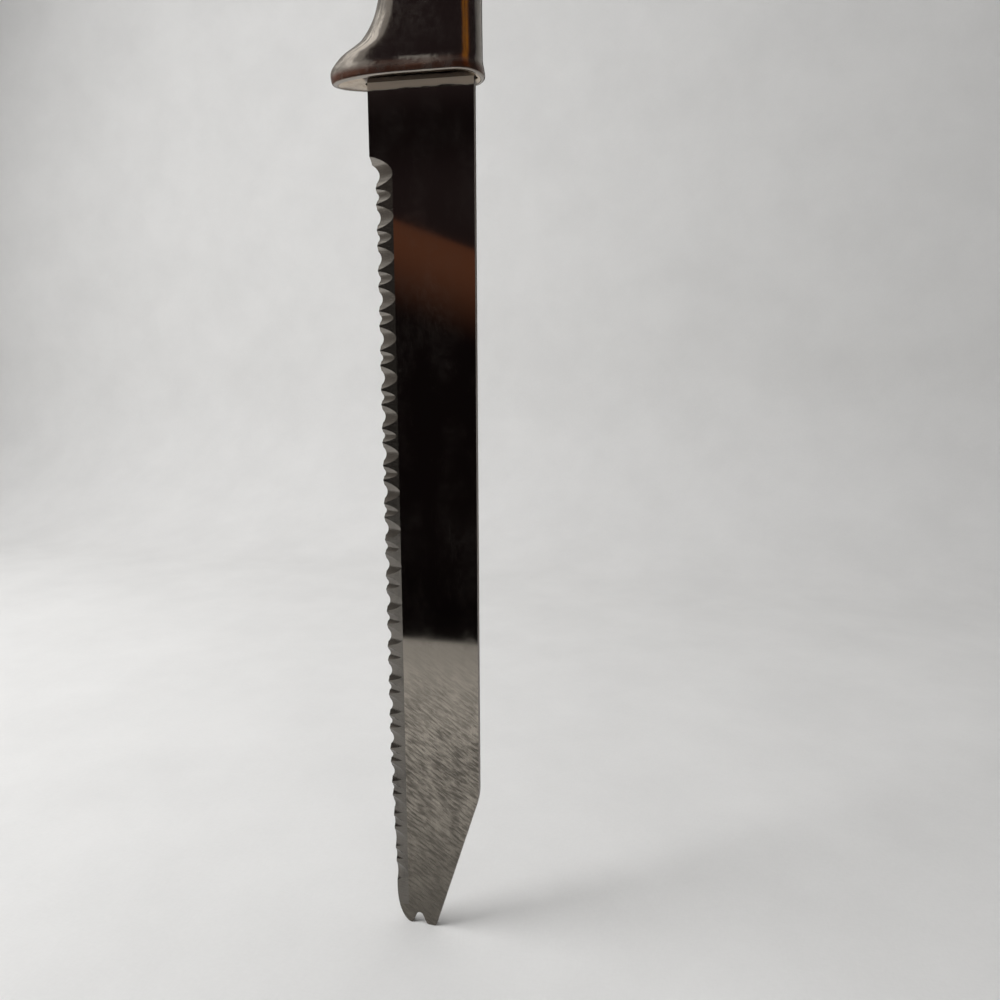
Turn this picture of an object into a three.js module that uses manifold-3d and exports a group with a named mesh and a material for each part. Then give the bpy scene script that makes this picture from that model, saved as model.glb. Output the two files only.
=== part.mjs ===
// Frozen food knife: a forked blade with scalloped teeth, set in a hollow metal handle.
// Millimetres, +Z up. The knife stands on its prongs, spine towards +X, ground side towards -Y.
// The origin lies under the middle of the knife's outline, at the height of the prongs' tips.

import * as THREE from 'three';
import { ConvexGeometry } from 'three/addons/geometries/ConvexGeometry.js';
import { mergeVertices } from 'three/addons/utils/BufferGeometryUtils.js';
import Module from 'manifold-3d';

// Blade. Heights run up from the prongs, setbacks run in from the line of the blade's edge side.
const BLADE_LENGTH = 211.1;
const BLADE_WIDTH = 25.4;
const BLADE_THICKNESS = 1.6;
const EDGE_SETBACK = 1;
const EDGE_TAPER_HEIGHT = 46;
const NOSE_SETBACK = 2.3;
const NOSE_HEIGHT = 11;
const CLIP_HEIGHT = 38.6;
const CLIP_ROUND = 2.5;

// Fork at the blade's end, placed from the blade's centre line
const EDGE_PRONG_X = -6.2;
const SPINE_PRONG_X = 0.5;
const NOTCH_X = -4;
const NOTCH_MOUTH = 4.1;
const NOTCH_TOP = 1.3;
const NOTCH_DEPTH = 3.15;
const PRONG_ROUND = 0.6;

// Front bevel along the edge, and the scallops that are ground into it: a large one at the top,
// where it leaves the heel, then small and large ones in turn down to the nose. The bevel runs out
// onto the front face above the prongs.
const BEVEL_RUN = 4.6;
const BEVEL_END_HEIGHT = 5;
const BEVEL_END_LENGTH = 14;
const EDGE_LAND = 0.6;
const LARGE_PITCH = 5.64;
const LARGE_RADIUS = 4.8;
const LARGE_DEPTH = 0.8;
const SMALL_PITCH = 3.708;
const SMALL_RADIUS = 2.2;
const SMALL_DEPTH = 0.5;
const TOP_SCALLOP_BELOW_HANDLE = 19.4;
const GRIND_RUN = 3.85;

// Tang, measured up from the blade's shoulders
const TANG_LENGTH = 76;
const TANG_X = 2.8;
const TANG_WIDTH = 14;
const TANG_TIP_WIDTH = 9.5;
const TANG_NOTCHES = 3;
const TANG_NOTCH_DEPTH = 2.2;
const TANG_NOTCH_HEIGHT = 6;
const TANG_NOTCH_START = 14;
const TANG_NOTCH_PITCH = 18;

// Handle. Heights run up from its end face. Each "past" is how far its outline lies outside the
// line of the blade's spine or of its edge side, and is negative where the handle is narrower.
// The end face falls towards the spine by the slant, for each millimetre across.
const HANDLE_LENGTH = 124;
const END_SLANT = 0.03;
const BUTT_ROUND = 13;
const RIM_PAST_SPINE = 2.2;
const GRIP_PAST_SPINE = 1.7;
const PALM_PAST_SPINE = 1.4;
const BUTT_PAST_SPINE = -0.9;
const GUARD_FOOT_PAST_EDGE = 8.5;
const GUARD_HEIGHT = 2.5;
const GUARD_PAST_EDGE = 9.3;
const CREST_HEIGHT = 5.5;
const CREST_PAST_EDGE = 7.1;
const FLANK_HEIGHT = 9;
const FLANK_PAST_EDGE = 1.2;
const HOLLOW_HEIGHT = 15;
const HOLLOW_PAST_EDGE = -2.6;
const NECK_HEIGHT = 28;
const NECK_PAST_EDGE = -4.9;
const PALM_HEIGHT = 70;
const PALM_PAST_EDGE = -2.1;
const BUTT_PAST_EDGE = -0.9;
const RIM_THICKNESS = 11.6;
const NECK_THICKNESS = 10.6;
const PALM_THICKNESS = 13.6;
const BUTT_THICKNESS = 12.4;
const RIM_HEIGHT = 4;
const RIM_ROUND = 0.6;
const SHELL_WALL = 0.9;

// Pieces inside and at the end of the handle
const PLATE_THICKNESS = 1.5;
const SLOT_SIDE_GAP = 0.4;
const SLOT_END_GAP = 0.6;
const CEMENT_OVER_TANG = 12.5;
const CLEARANCE = 0.3;

// Fineness of round forms
const GROOVE_SIDES = 48;
const ROUND_STEPS = 12;
const CORNER_STEPS = 4;
const RIM_RINGS = 3;
const NECK_RINGS = 14;
const RING_CROWDING = 1.5;
const GRIP_RINGS = 12;
const DOME_RINGS = 5;

const wasm = await Module();
wasm.setup();

// Joining and cutting

function solid(geometry) {
  const bare = geometry.clone();
  bare.deleteAttribute('normal');
  bare.deleteAttribute('uv');
  const merged = mergeVertices(bare);
  const vertProperties = new Float32Array(merged.attributes.position.array);
  const triVerts = new Uint32Array(merged.index.array);
  return new wasm.Manifold(new wasm.Mesh({ numProp: 3, vertProperties, triVerts }));
}

function named(name, body, finish) {
  const { vertProperties, triVerts } = body.getMesh();
  const geometry = new THREE.BufferGeometry();
  geometry.setAttribute('position', new THREE.BufferAttribute(vertProperties, 3));
  geometry.setIndex(new THREE.BufferAttribute(triVerts, 1));
  geometry.computeVertexNormals();
  const mesh = new THREE.Mesh(geometry, new THREE.MeshStandardMaterial(finish));
  mesh.name = name;
  return mesh;
}

function box(x0, x1, y0, y1, z0, z1) {
  const geometry = new THREE.BoxGeometry(x1 - x0, y1 - y0, z1 - z0);
  geometry.translate((x0 + x1) / 2, (y0 + y1) / 2, (z0 + z1) / 2);
  return solid(geometry);
}

// A plate cut to an outline of x and height, centred on the blade's mid-plane.
function upright(outline, thickness) {
  const shape = new THREE.Shape(outline);
  const geometry = new THREE.ExtrudeGeometry(shape, { depth: thickness, bevelEnabled: false });
  geometry.rotateX(Math.PI / 2);
  geometry.translate(0, thickness / 2, 0);
  return solid(geometry);
}

// Blade

const halfWidth = BLADE_WIDTH / 2;
const halfThickness = BLADE_THICKNESS / 2;
const edgeReach = halfWidth - EDGE_SETBACK;
const noseReach = halfWidth - NOSE_SETBACK;
const shoulderHeight = BLADE_LENGTH + PLATE_THICKNESS - END_SLANT * halfWidth;
const topScallopHeight = BLADE_LENGTH - TOP_SCALLOP_BELOW_HANDLE;
const pairPitch = LARGE_PITCH + SMALL_PITCH;
const scallopPairs = Math.floor((topScallopHeight - NOSE_HEIGHT) / pairPitch);

// Corner at one point, softened over a distance along both of its sides.
function softCorner(before, at, after, distance) {
  const start = at.clone().lerp(before, distance / at.distanceTo(before));
  const end = at.clone().lerp(after, distance / at.distanceTo(after));
  return new THREE.QuadraticBezierCurve(start, at, end).getPoints(CORNER_STEPS);
}

// One side of the tang from the shoulder to its tip, grown by a gap all round.
function tangSide(side, gap) {
  const point = (reach, height) => new THREE.Vector2(TANG_X + side * reach, shoulderHeight + height);
  const reachAt = (height) => {
    const share = THREE.MathUtils.clamp(height / TANG_LENGTH, 0, 1);
    return THREE.MathUtils.lerp(TANG_WIDTH, TANG_TIP_WIDTH, share) / 2 + gap;
  };
  const points = [point(reachAt(0), 0)];
  for (let n = 0; n < TANG_NOTCHES; n += 1) {
    const low = TANG_NOTCH_START + n * TANG_NOTCH_PITCH + gap;
    const high = low + TANG_NOTCH_HEIGHT - 2 * gap;
    points.push(point(reachAt(low), low));
    points.push(point(reachAt(low) - TANG_NOTCH_DEPTH, low));
    points.push(point(reachAt(high) - TANG_NOTCH_DEPTH, high));
    points.push(point(reachAt(high), high));
  }
  points.push(point(reachAt(TANG_LENGTH), TANG_LENGTH + gap));
  return points;
}

const at = (x, height) => new THREE.Vector2(x, height);

// The working length, from the prongs up to the top scallop.
function edgeOutline() {
  const notchLeft = at(NOTCH_X - NOTCH_MOUTH / 2, 0);
  const notchTopLeft = at(NOTCH_X - NOTCH_TOP / 2, NOTCH_DEPTH);
  const notchTopRight = at(NOTCH_X + NOTCH_TOP / 2, NOTCH_DEPTH);
  const notchRight = at(NOTCH_X + NOTCH_MOUTH / 2, 0);
  const clipFoot = at(SPINE_PRONG_X, 0);
  const clipTop = at(halfWidth, CLIP_HEIGHT);
  const spineTop = at(halfWidth, topScallopHeight);
  const noseWidth = noseReach + EDGE_PRONG_X;
  const nose = new THREE.EllipseCurve(
    EDGE_PRONG_X, NOSE_HEIGHT, noseWidth, NOSE_HEIGHT, Math.PI, 1.5 * Math.PI,
  );
  return [
    notchLeft,
    ...softCorner(notchLeft, notchTopLeft, notchTopRight, PRONG_ROUND),
    ...softCorner(notchTopLeft, notchTopRight, notchRight, PRONG_ROUND),
    ...softCorner(notchTopRight, notchRight, clipFoot, PRONG_ROUND),
    ...softCorner(notchRight, clipFoot, clipTop, PRONG_ROUND),
    ...softCorner(clipFoot, clipTop, spineTop, CLIP_ROUND),
    spineTop,
    at(-edgeReach, topScallopHeight),
    at(-edgeReach, EDGE_TAPER_HEIGHT),
    ...nose.getPoints(ROUND_STEPS),
  ];
}

// The full-width heel above the scallops, with the tang on its shoulders.
function heelOutline() {
  return [
    at(-halfWidth, topScallopHeight),
    at(halfWidth, topScallopHeight),
    at(halfWidth, shoulderHeight),
    ...tangSide(1, 0),
    ...tangSide(-1, 0).reverse(),
    at(-halfWidth, shoulderHeight),
  ];
}

// Round groove that runs out of the front face, down through the edge.
function groove(height, radius, depth) {
  const slope = Math.atan2(BLADE_THICKNESS, GRIND_RUN);
  const shoulderX = -edgeReach + depth + GRIND_RUN;
  const length = 4 * (EDGE_SETBACK + GRIND_RUN);
  const geometry = new THREE.CylinderGeometry(radius, radius, length, GROOVE_SIDES);
  geometry.rotateZ(Math.PI / 2 - slope);
  geometry.translate(
    shoulderX - radius * Math.sin(slope),
    -halfThickness - radius * Math.cos(slope),
    height,
  );
  return solid(geometry);
}

// Wedge taken off the front along the edge, so that each tooth ends in a narrow land at the back.
// Its corners count bevel widths in from the shoulder line and bevel depths below the front face.
function edgeBevel() {
  const depth = BLADE_THICKNESS - EDGE_LAND;
  const corner = (widths, depths, height) => new THREE.Vector3(
    BEVEL_RUN - edgeReach - widths * BEVEL_RUN,
    depths * depth - halfThickness,
    height,
  );
  const endAt = (depths) => BEVEL_END_HEIGHT + depths * BEVEL_END_LENGTH;
  return solid(new ConvexGeometry([
    corner(-1, -1, endAt(-1)),
    corner(-1, -1, topScallopHeight),
    corner(2, -1, endAt(-1)),
    corner(2, -1, topScallopHeight),
    corner(2, 2, endAt(2)),
    corner(2, 2, topScallopHeight),
  ]));
}

function makeBlade() {
  let cutters = edgeBevel().add(groove(topScallopHeight, LARGE_RADIUS, LARGE_DEPTH));
  for (let pair = 0; pair < scallopPairs; pair += 1) {
    const smallHeight = topScallopHeight - pairPitch * (pair + 0.5);
    const largeHeight = topScallopHeight - pairPitch * (pair + 1);
    cutters = cutters.add(groove(smallHeight, SMALL_RADIUS, SMALL_DEPTH));
    cutters = cutters.add(groove(largeHeight, LARGE_RADIUS, LARGE_DEPTH));
  }
  const workingLength = upright(edgeOutline(), BLADE_THICKNESS);
  const heel = upright(heelOutline(), BLADE_THICKNESS);
  return workingLength.add(heel).subtract(cutters);
}

// Handle

const shellInside = SHELL_WALL + CLEARANCE;
const slotReach = halfWidth + SLOT_END_GAP;
const slotHalf = halfThickness + SLOT_SIDE_GAP;
const tangSpaceHalf = halfThickness + CLEARANCE;
const cementFoot = PLATE_THICKNESS + CLEARANCE;
const cementTop = PLATE_THICKNESS + TANG_LENGTH + CEMENT_OVER_TANG;
const buttHeight = HANDLE_LENGTH - BUTT_ROUND;

// Smooth curve through stations of height and value, without overshoot.
function smoothCurve(stations) {
  const steps = stations.slice(1).map((next, i) => {
    const run = next[0] - stations[i][0];
    return { run, slope: (next[1] - stations[i][1]) / run };
  });
  const slopes = stations.map((_, i) => {
    if (i === 0 || i === steps.length) return 0;
    const { slope: below, run: belowRun } = steps[i - 1];
    const { slope: above, run: aboveRun } = steps[i];
    if (below * above <= 0) return 0;
    const weightBelow = 2 * aboveRun + belowRun;
    const weightAbove = aboveRun + 2 * belowRun;
    return (weightBelow + weightAbove) / (weightBelow / below + weightAbove / above);
  });
  return (height) => {
    const above = stations.findIndex((station) => station[0] > height);
    const k = above < 0 ? steps.length - 1 : Math.max(above - 1, 0);
    const { run } = steps[k];
    const t = THREE.MathUtils.clamp((height - stations[k][0]) / run, 0, 1);
    const rise = stations[k + 1][1] - stations[k][1];
    const ease = t * t * (3 - 2 * t);
    const lead = t * (1 - t) * (1 - t) * run * slopes[k];
    const trail = t * t * (t - 1) * run * slopes[k + 1];
    return stations[k][1] + rise * ease + lead + trail;
  };
}

const spineReach = smoothCurve([
  [RIM_ROUND, halfWidth + RIM_PAST_SPINE],
  [RIM_HEIGHT, halfWidth + GRIP_PAST_SPINE],
  [PALM_HEIGHT, halfWidth + PALM_PAST_SPINE],
  [buttHeight, halfWidth + BUTT_PAST_SPINE],
]);

const gripReach = smoothCurve([
  [GUARD_HEIGHT, halfWidth + GUARD_PAST_EDGE],
  [CREST_HEIGHT, halfWidth + CREST_PAST_EDGE],
  [FLANK_HEIGHT, halfWidth + FLANK_PAST_EDGE],
  [HOLLOW_HEIGHT, halfWidth + HOLLOW_PAST_EDGE],
  [NECK_HEIGHT, halfWidth + NECK_PAST_EDGE],
  [PALM_HEIGHT, halfWidth + PALM_PAST_EDGE],
  [buttHeight, halfWidth + BUTT_PAST_EDGE],
]);

// The belly's outline: a round nose under the guard, then the grip.
function bellyReach(height) {
  if (height >= GUARD_HEIGHT) return gripReach(height);
  const share = 1 - height / GUARD_HEIGHT;
  const past = THREE.MathUtils.lerp(GUARD_FOOT_PAST_EDGE, GUARD_PAST_EDGE, Math.sqrt(1 - share * share));
  return halfWidth + past;
}

const thicknessAt = smoothCurve([
  [RIM_ROUND, RIM_THICKNESS],
  [RIM_HEIGHT, NECK_THICKNESS],
  [NECK_HEIGHT, NECK_THICKNESS],
  [PALM_HEIGHT, PALM_THICKNESS],
  [buttHeight, BUTT_THICKNESS],
]);

// How far the rim's rounded lower edge lies inside the rim at a height.
function rimRounding(height) {
  const share = Math.max(1 - height / RIM_ROUND, 0);
  return RIM_ROUND * (1 - Math.sqrt(1 - share * share));
}

// Belly inset that keeps a wall's thickness where the guard slopes, and leaves the guard's nose solid.
function bellyInset(height, inset) {
  if (inset === 0) return 0;
  const solidNose = bellyReach(height) - bellyReach(0);
  if (solidNose >= 0) return solidNose + inset;
  const step = 0.1;
  const rise = (bellyReach(height + step) - bellyReach(height - step)) / (2 * step);
  return inset * Math.hypot(1, rise);
}

// One level section: flat sides, a round spine and a belly that thins out into the guard.
function section(height, inset, rounding, narrow = 1) {
  const half = thicknessAt(height) / 2;
  const spine = spineReach(height);
  const belly = bellyReach(height);
  const guardRun = height < NECK_HEIGHT ? belly - bellyReach(NECK_HEIGHT) : 0;
  const spineFlat = spine - half;
  const bellyFlat = -belly + half + guardRun;
  const middle = (spineFlat + bellyFlat) / 2;
  const halfInside = half - inset - rounding;
  const points = [];
  const ends = [
    { x: spineFlat, run: halfInside, turn: -Math.PI / 2 },
    { x: bellyFlat, run: half + guardRun - bellyInset(height, inset) - rounding, turn: Math.PI / 2 },
  ];
  for (const end of ends) {
    for (let k = 0; k <= ROUND_STEPS; k += 1) {
      const angle = end.turn + (Math.PI * k) / ROUND_STEPS;
      const x = end.x + end.run * Math.cos(angle);
      const y = halfInside * Math.sin(angle);
      points.push(new THREE.Vector2(middle + (x - middle) * narrow, y * narrow));
    }
  }
  return points;
}

// Closed body of rings on the end face's slant, each with as many points as the next, ending in flat fans.
function loft(rings) {
  const size = rings[0].points.length;
  const positions = [];
  const index = [];
  for (const ring of rings) {
    for (const p of ring.points) positions.push(p.x, p.y, ring.height - END_SLANT * p.x);
  }
  for (let r = 0; r + 1 < rings.length; r += 1) {
    for (let k = 0; k < size; k += 1) {
      const a = r * size + k;
      const b = r * size + ((k + 1) % size);
      index.push(a, b, b + size, a, b + size, a + size);
    }
  }
  const fan = (ring, first, upward, rise) => {
    const mean = ring.points.reduce((sum, p) => sum.add(p), new THREE.Vector2()).divideScalar(size);
    const hub = positions.length / 3;
    positions.push(mean.x, mean.y, ring.height + rise - END_SLANT * mean.x);
    for (let k = 0; k < size; k += 1) {
      const a = first + k;
      const b = first + ((k + 1) % size);
      index.push(hub, upward ? a : b, upward ? b : a);
    }
  };
  const top = rings[rings.length - 1];
  fan(rings[0], 0, false, 0);
  fan(top, (rings.length - 1) * size, true, top.crown ?? 0);
  const geometry = new THREE.BufferGeometry();
  geometry.setAttribute('position', new THREE.Float32BufferAttribute(positions, 3));
  geometry.setIndex(index);
  return solid(geometry);
}

// Heights of the handle's rings: round the rim's edge, crowded at the guard, even along the grip.
function ringHeights() {
  const heights = [];
  for (let k = 0; k < RIM_RINGS; k += 1) {
    heights.push(RIM_ROUND * (1 - Math.cos((Math.PI / 2) * (k / RIM_RINGS))));
  }
  for (let k = 0; k < NECK_RINGS; k += 1) {
    heights.push(THREE.MathUtils.lerp(RIM_ROUND, NECK_HEIGHT, (k / NECK_RINGS) ** RING_CROWDING));
  }
  for (let k = 0; k <= GRIP_RINGS; k += 1) {
    heights.push(THREE.MathUtils.lerp(NECK_HEIGHT, buttHeight, k / GRIP_RINGS));
  }
  heights.push(PLATE_THICKNESS, cementFoot, cementTop);
  return heights.sort((a, b) => a - b);
}

// The handle's form between two heights, drawn in by an inset and with its lower edge rounded or not.
function handleForm(inset, bottom, top, round = false) {
  const rounding = (height) => (round ? rimRounding(height) : 0);
  const limit = Math.min(top, buttHeight);
  const between = ringHeights().filter((height) => height > bottom && height < limit);
  const level = (height) => {
    const at = Math.max(height, 0);
    return { height, points: section(at, inset, rounding(at)) };
  };
  const rings = [level(bottom), ...between.map(level)];
  const dome = HANDLE_LENGTH - inset - buttHeight;
  if (top <= buttHeight) {
    rings.push(level(top));
    return loft(rings);
  }
  for (let k = 0; k < DOME_RINGS; k += 1) {
    const angle = (Math.PI / 2) * (k / DOME_RINGS);
    const height = buttHeight + dome * Math.sin(angle);
    rings.push({ height, points: section(buttHeight, inset, 0, Math.cos(angle)) });
  }
  const last = rings[rings.length - 1];
  last.crown = buttHeight + dome - last.height;
  return loft(rings);
}

function makeShells() {
  const outside = handleForm(0, 0, HANDLE_LENGTH, true);
  const inside = handleForm(SHELL_WALL, -PLATE_THICKNESS, HANDLE_LENGTH);
  const shell = outside.subtract(inside);
  const far = HANDLE_LENGTH;
  return {
    front: shell.intersect(box(-far, far, -far, 0, -far, 2 * far)),
    back: shell.intersect(box(-far, far, 0, far, -far, 2 * far)),
  };
}

// Opening with round ends that the blade comes out of, with room all round.
function slotSpace() {
  const shape = new THREE.Shape();
  shape.absarc(slotReach - slotHalf, 0, slotHalf, -Math.PI / 2, Math.PI / 2);
  shape.absarc(slotHalf - slotReach, 0, slotHalf, Math.PI / 2, 1.5 * Math.PI);
  const extent = { depth: 3 * PLATE_THICKNESS, bevelEnabled: false, curveSegments: ROUND_STEPS };
  const geometry = new THREE.ExtrudeGeometry(shape, extent);
  geometry.translate(0, 0, -PLATE_THICKNESS);
  return solid(geometry);
}

function makeEndPlate() {
  return handleForm(shellInside, 0, PLATE_THICKNESS).subtract(slotSpace());
}

function makeCement() {
  const outline = [...tangSide(1, CLEARANCE), ...tangSide(-1, CLEARANCE).reverse()];
  const tangSpace = upright(outline, 2 * tangSpaceHalf).translate(0, 0, -BLADE_LENGTH);
  return handleForm(shellInside, cementFoot, cementTop).subtract(tangSpace);
}

// Assembly

const polishedBlade = { color: 0xb9b7b3, roughness: 0.12, metalness: 1 };
const polishedShell = { color: 0xc2bfb9, roughness: 0.16, metalness: 1 };
const satinPlate = { color: 0xb8ae9e, roughness: 0.35, metalness: 1 };
const castCement = { color: 0x33291f, roughness: 0.85, metalness: 0 };

const shells = makeShells();

const handle = new THREE.Group();
handle.position.z = BLADE_LENGTH;
handle.add(named('handle_shell_front', shells.front, polishedShell));
handle.add(named('handle_shell_back', shells.back, polishedShell));
handle.add(named('end_plate', makeEndPlate(), satinPlate));
handle.add(named('tang_cement', makeCement(), castCement));

const knife = new THREE.Group();
knife.position.x = (GUARD_PAST_EDGE - RIM_PAST_SPINE) / 2;
knife.add(named('blade', makeBlade(), polishedBlade));
knife.add(handle);

export default knife;
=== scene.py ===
"""Frozen food knife: the fine pieces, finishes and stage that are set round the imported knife."""

import math
import random

import bmesh
import bpy
import numpy as np
from bpy.props import FloatProperty, FloatVectorProperty, IntProperty, PointerProperty
from mathutils import Matrix, Vector


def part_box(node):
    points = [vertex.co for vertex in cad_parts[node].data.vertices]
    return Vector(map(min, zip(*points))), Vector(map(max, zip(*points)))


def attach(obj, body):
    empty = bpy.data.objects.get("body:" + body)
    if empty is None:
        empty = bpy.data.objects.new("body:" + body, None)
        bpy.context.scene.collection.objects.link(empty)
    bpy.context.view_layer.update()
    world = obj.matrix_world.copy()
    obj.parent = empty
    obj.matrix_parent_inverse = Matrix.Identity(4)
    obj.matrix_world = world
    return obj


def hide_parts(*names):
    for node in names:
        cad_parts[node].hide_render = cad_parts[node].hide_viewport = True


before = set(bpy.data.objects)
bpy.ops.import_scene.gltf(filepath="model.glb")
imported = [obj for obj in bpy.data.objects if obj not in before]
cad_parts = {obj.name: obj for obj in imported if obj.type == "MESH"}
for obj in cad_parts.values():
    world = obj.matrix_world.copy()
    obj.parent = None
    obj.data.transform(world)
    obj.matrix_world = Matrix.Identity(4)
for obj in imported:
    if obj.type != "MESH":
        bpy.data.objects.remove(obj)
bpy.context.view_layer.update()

bl_info = {
    "name": "Frozen Food Knife",
    "version": (1, 0, 0),
    "blender": (4, 5, 0),
    "location": "View3D > Sidebar > Knife",
    "description": "Builds the blade, the hollow handle and the stage of a frozen food knife",
    "category": "Object",
}

MM = 0.001
WELD = 1e-7
GROOVE_STEP = 0.12 * MM
LEVEL = 0.01 * MM
NOSE_POINTS = 33
CORNER_STEPS = 6
CLIP_STEPS = 8
SCALLOP_SEED = 7
RIM_RINGS = 9
NECK_RINGS = 65
NECK_CROWDING = 1.4
GRIP_RINGS = 49
QUARTER_POINTS = 25
PLATE_END_POINTS = 49
PLATE_ARRIS_POINTS = 5
BEND_POINTS = 25
WALL_BEND_POINTS = 13
WALL_CORNER_POINTS = 17
BLADE_SHARP = 8.5
SHEET_SHARP = 32
PANEL_SHARP = 10
CLOTH_SHARP = 40
BLADE_LOW, BLADE_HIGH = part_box("blade")
CENTRE_X = (BLADE_LOW.x + BLADE_HIGH.x) / 2


def size(label, millimetres, description):
    """A length that the user can change, given in millimetres and kept in metres."""
    return FloatProperty(
        name=label, description=description, default=millimetres * MM,
        unit="LENGTH", subtype="DISTANCE", precision=5,
    )


def count(label, default, description):
    return IntProperty(name=label, description=description, default=default, min=1)


def share(label, default, description):
    return FloatProperty(
        name=label, description=description, default=default, min=0, max=1, subtype="FACTOR"
    )


def number(label, default, description):
    return FloatProperty(name=label, description=description, default=default)


def angle(label, degrees, description):
    return FloatProperty(
        name=label, description=description, default=math.radians(degrees),
        unit="ROTATION", subtype="ANGLE",
    )


def colour(label, default, description):
    return FloatVectorProperty(
        name=label, description=description, default=default, size=3,
        min=0, max=1, subtype="COLOR",
    )


def power(label, watts, description):
    return FloatProperty(name=label, description=description, default=watts, unit="POWER")


class KnifeBladeSizes(bpy.types.PropertyGroup):
    """Sizes of the blade. Places across it are counted from its centre line, towards the spine."""

    length: size("Length", 211.1, "From the prongs to the handle's end face")
    width: size("Width", (BLADE_HIGH.x - BLADE_LOW.x) / MM, "From the edge side to the spine")
    thickness: size("Thickness", (BLADE_HIGH.y - BLADE_LOW.y) / MM, "Of the plain blade")
    edge_setback: size("Edge setback", 1, "Of the toothed edge behind the heel's edge side")
    taper_height: size("Taper height", 46, "Where the toothed edge starts to draw in")
    nose_setback: size("Nose setback", 2.3, "Of the nose behind the heel's edge side")
    nose_height: size("Nose height", 11, "Of the round nose under the teeth")
    clip_height: size("Clip height", 38.6, "Where the sloping end leaves the spine")
    clip_round: size("Clip round", 2.5, "Softening of that corner")
    edge_prong: size("Edge prong", -6.2, "Place of the prong on the edge side")
    spine_prong: size("Spine prong", 0.5, "Place of the outer foot of the other prong")
    notch: size("Notch", -4, "Place of the notch between the prongs")
    notch_mouth: size("Notch mouth", 4.1, "Width of the notch at its mouth")
    notch_top: size("Notch top", 1.3, "Width of the notch at its top")
    notch_depth: size("Notch depth", 3.15, "Height of the notch")
    prong_round: size("Prong round", 0.6, "Softening of the prongs' corners")
    large_pitch: size("Large pitch", 5.64, "Length of edge taken by a large scallop")
    large_radius: size("Large radius", 4.8, "Radius of a large scallop")
    large_depth: size("Large depth", 0.8, "Depth of a large scallop behind the edge")
    small_pitch: size("Small pitch", 3.708, "Length of edge taken by a small scallop")
    small_radius: size("Small radius", 2.2, "Radius of a small scallop")
    small_depth: size("Small depth", 0.5, "Depth of a small scallop behind the edge")
    top_scallop: size("Top scallop", 19.4, "From the handle's end face down to the first scallop")
    grind_run: size("Grind run", 3.85, "Run of a scallop from the front face to the back")
    bevel_run: size("Bevel run", 4.6, "Run of the front bevel along the edge")
    bevel_end: size("Bevel end", 5, "Height at which the front bevel has run out")
    bevel_end_length: size("Bevel run-out", 14, "Length over which the front bevel runs out")
    edge_land: size("Edge land", 0.6, "Thickness left at the teeth's tips")
    arris: size("Arris", 0.1, "Softening of the blade's plain edges")
    scallop_drift: size("Scallop drift", 0.08, "How far a hand-ground scallop strays from its place")
    tang_length: size("Tang length", 76, "From the shoulders to the end of the tang")
    tang_place: size("Tang place", 2.8, "Place of the tang")
    tang_width: size("Tang width", 14, "At the shoulders")
    tang_tip: size("Tang tip", 9.5, "Width at the end of the tang")
    tang_notch_depth: size("Tang notch depth", 2.2, "Of the notches in the tang's sides")
    tang_notch_height: size("Tang notch height", 6, "Of the notches in the tang's sides")
    tang_notch_start: size("Tang notch start", 14, "From the shoulders to the first notch")
    tang_notch_pitch: size("Tang notch pitch", 18, "From one notch to the next")
    tang_notches: count("Tang notches", 3, "Notches in each side of the tang")


class KnifeHandleSizes(bpy.types.PropertyGroup):
    """Sizes of the handle. Heights run up from its end face, reaches out from the blade's sides."""

    length: size("Length", 124, "From the end face to the butt")
    slant: number("Slant", 0.03, "Fall of the end face towards the spine, for its width")
    butt_round: size("Butt round", 13, "Height of the round butt")
    rim_spine: size("Rim at spine", 2.2, "How far the rim stands past the blade's spine")
    grip_spine: size("Grip at spine", 1.7, "How far the grip stands past the blade's spine")
    palm_spine: size("Palm at spine", 1.4, "How far the palm stands past the blade's spine")
    butt_spine: size("Butt at spine", -0.9, "How far the butt stands past the blade's spine")
    guard_foot: size("Guard foot", 8.5, "Reach of the guard at the end face")
    guard_height: size("Guard height", 2.5, "Height of the guard's nose")
    guard: size("Guard", 9.3, "Reach of the guard's nose")
    crest_height: size("Crest height", 5.5, "Height of the guard's crest")
    crest: size("Crest", 7.1, "Reach of the guard's crest")
    flank_height: size("Flank height", 9, "Height of the guard's flank")
    flank: size("Flank", 1.2, "Reach of the guard's flank")
    hollow_height: size("Hollow height", 15, "Height of the finger hollow")
    hollow: size("Hollow", -2.6, "Reach in the finger hollow")
    neck_height: size("Neck height", 28, "Height of the neck")
    neck: size("Neck", -4.9, "Reach at the neck")
    palm_height: size("Palm height", 70, "Height of the palm")
    palm: size("Palm", -2.1, "Reach at the palm")
    butt: size("Butt", -0.9, "Reach at the butt")
    rim_thickness: size("Rim thickness", 11.6, "Across the rim")
    neck_thickness: size("Neck thickness", 10.6, "Across the neck")
    palm_thickness: size("Palm thickness", 13.6, "Across the palm")
    butt_thickness: size("Butt thickness", 12.4, "Across the butt")
    rim_height: size("Rim height", 4, "Height of the flare above the end face")
    rim_round: size("Rim round", 0.6, "Rounding of the rim's lower edge")
    wall: size("Wall", 0.9, "Thickness of the half shells")
    seam: size("Seam", 0.02, "Half the width of the line where the half shells meet")
    plate_joint: size("Plate joint", 0.06, "Width of the line round the end plate")
    plate_thickness: size("Plate thickness", 1.5, "Of the end plate")
    plate_arris: size("Plate arris", 0.12, "Softening of the end plate's edges")
    slot_side: size("Slot side", 0.4, "Room between the slot and the blade's faces")
    slot_end: size("Slot end", 0.6, "Room between the slot and the blade's edges")


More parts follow.
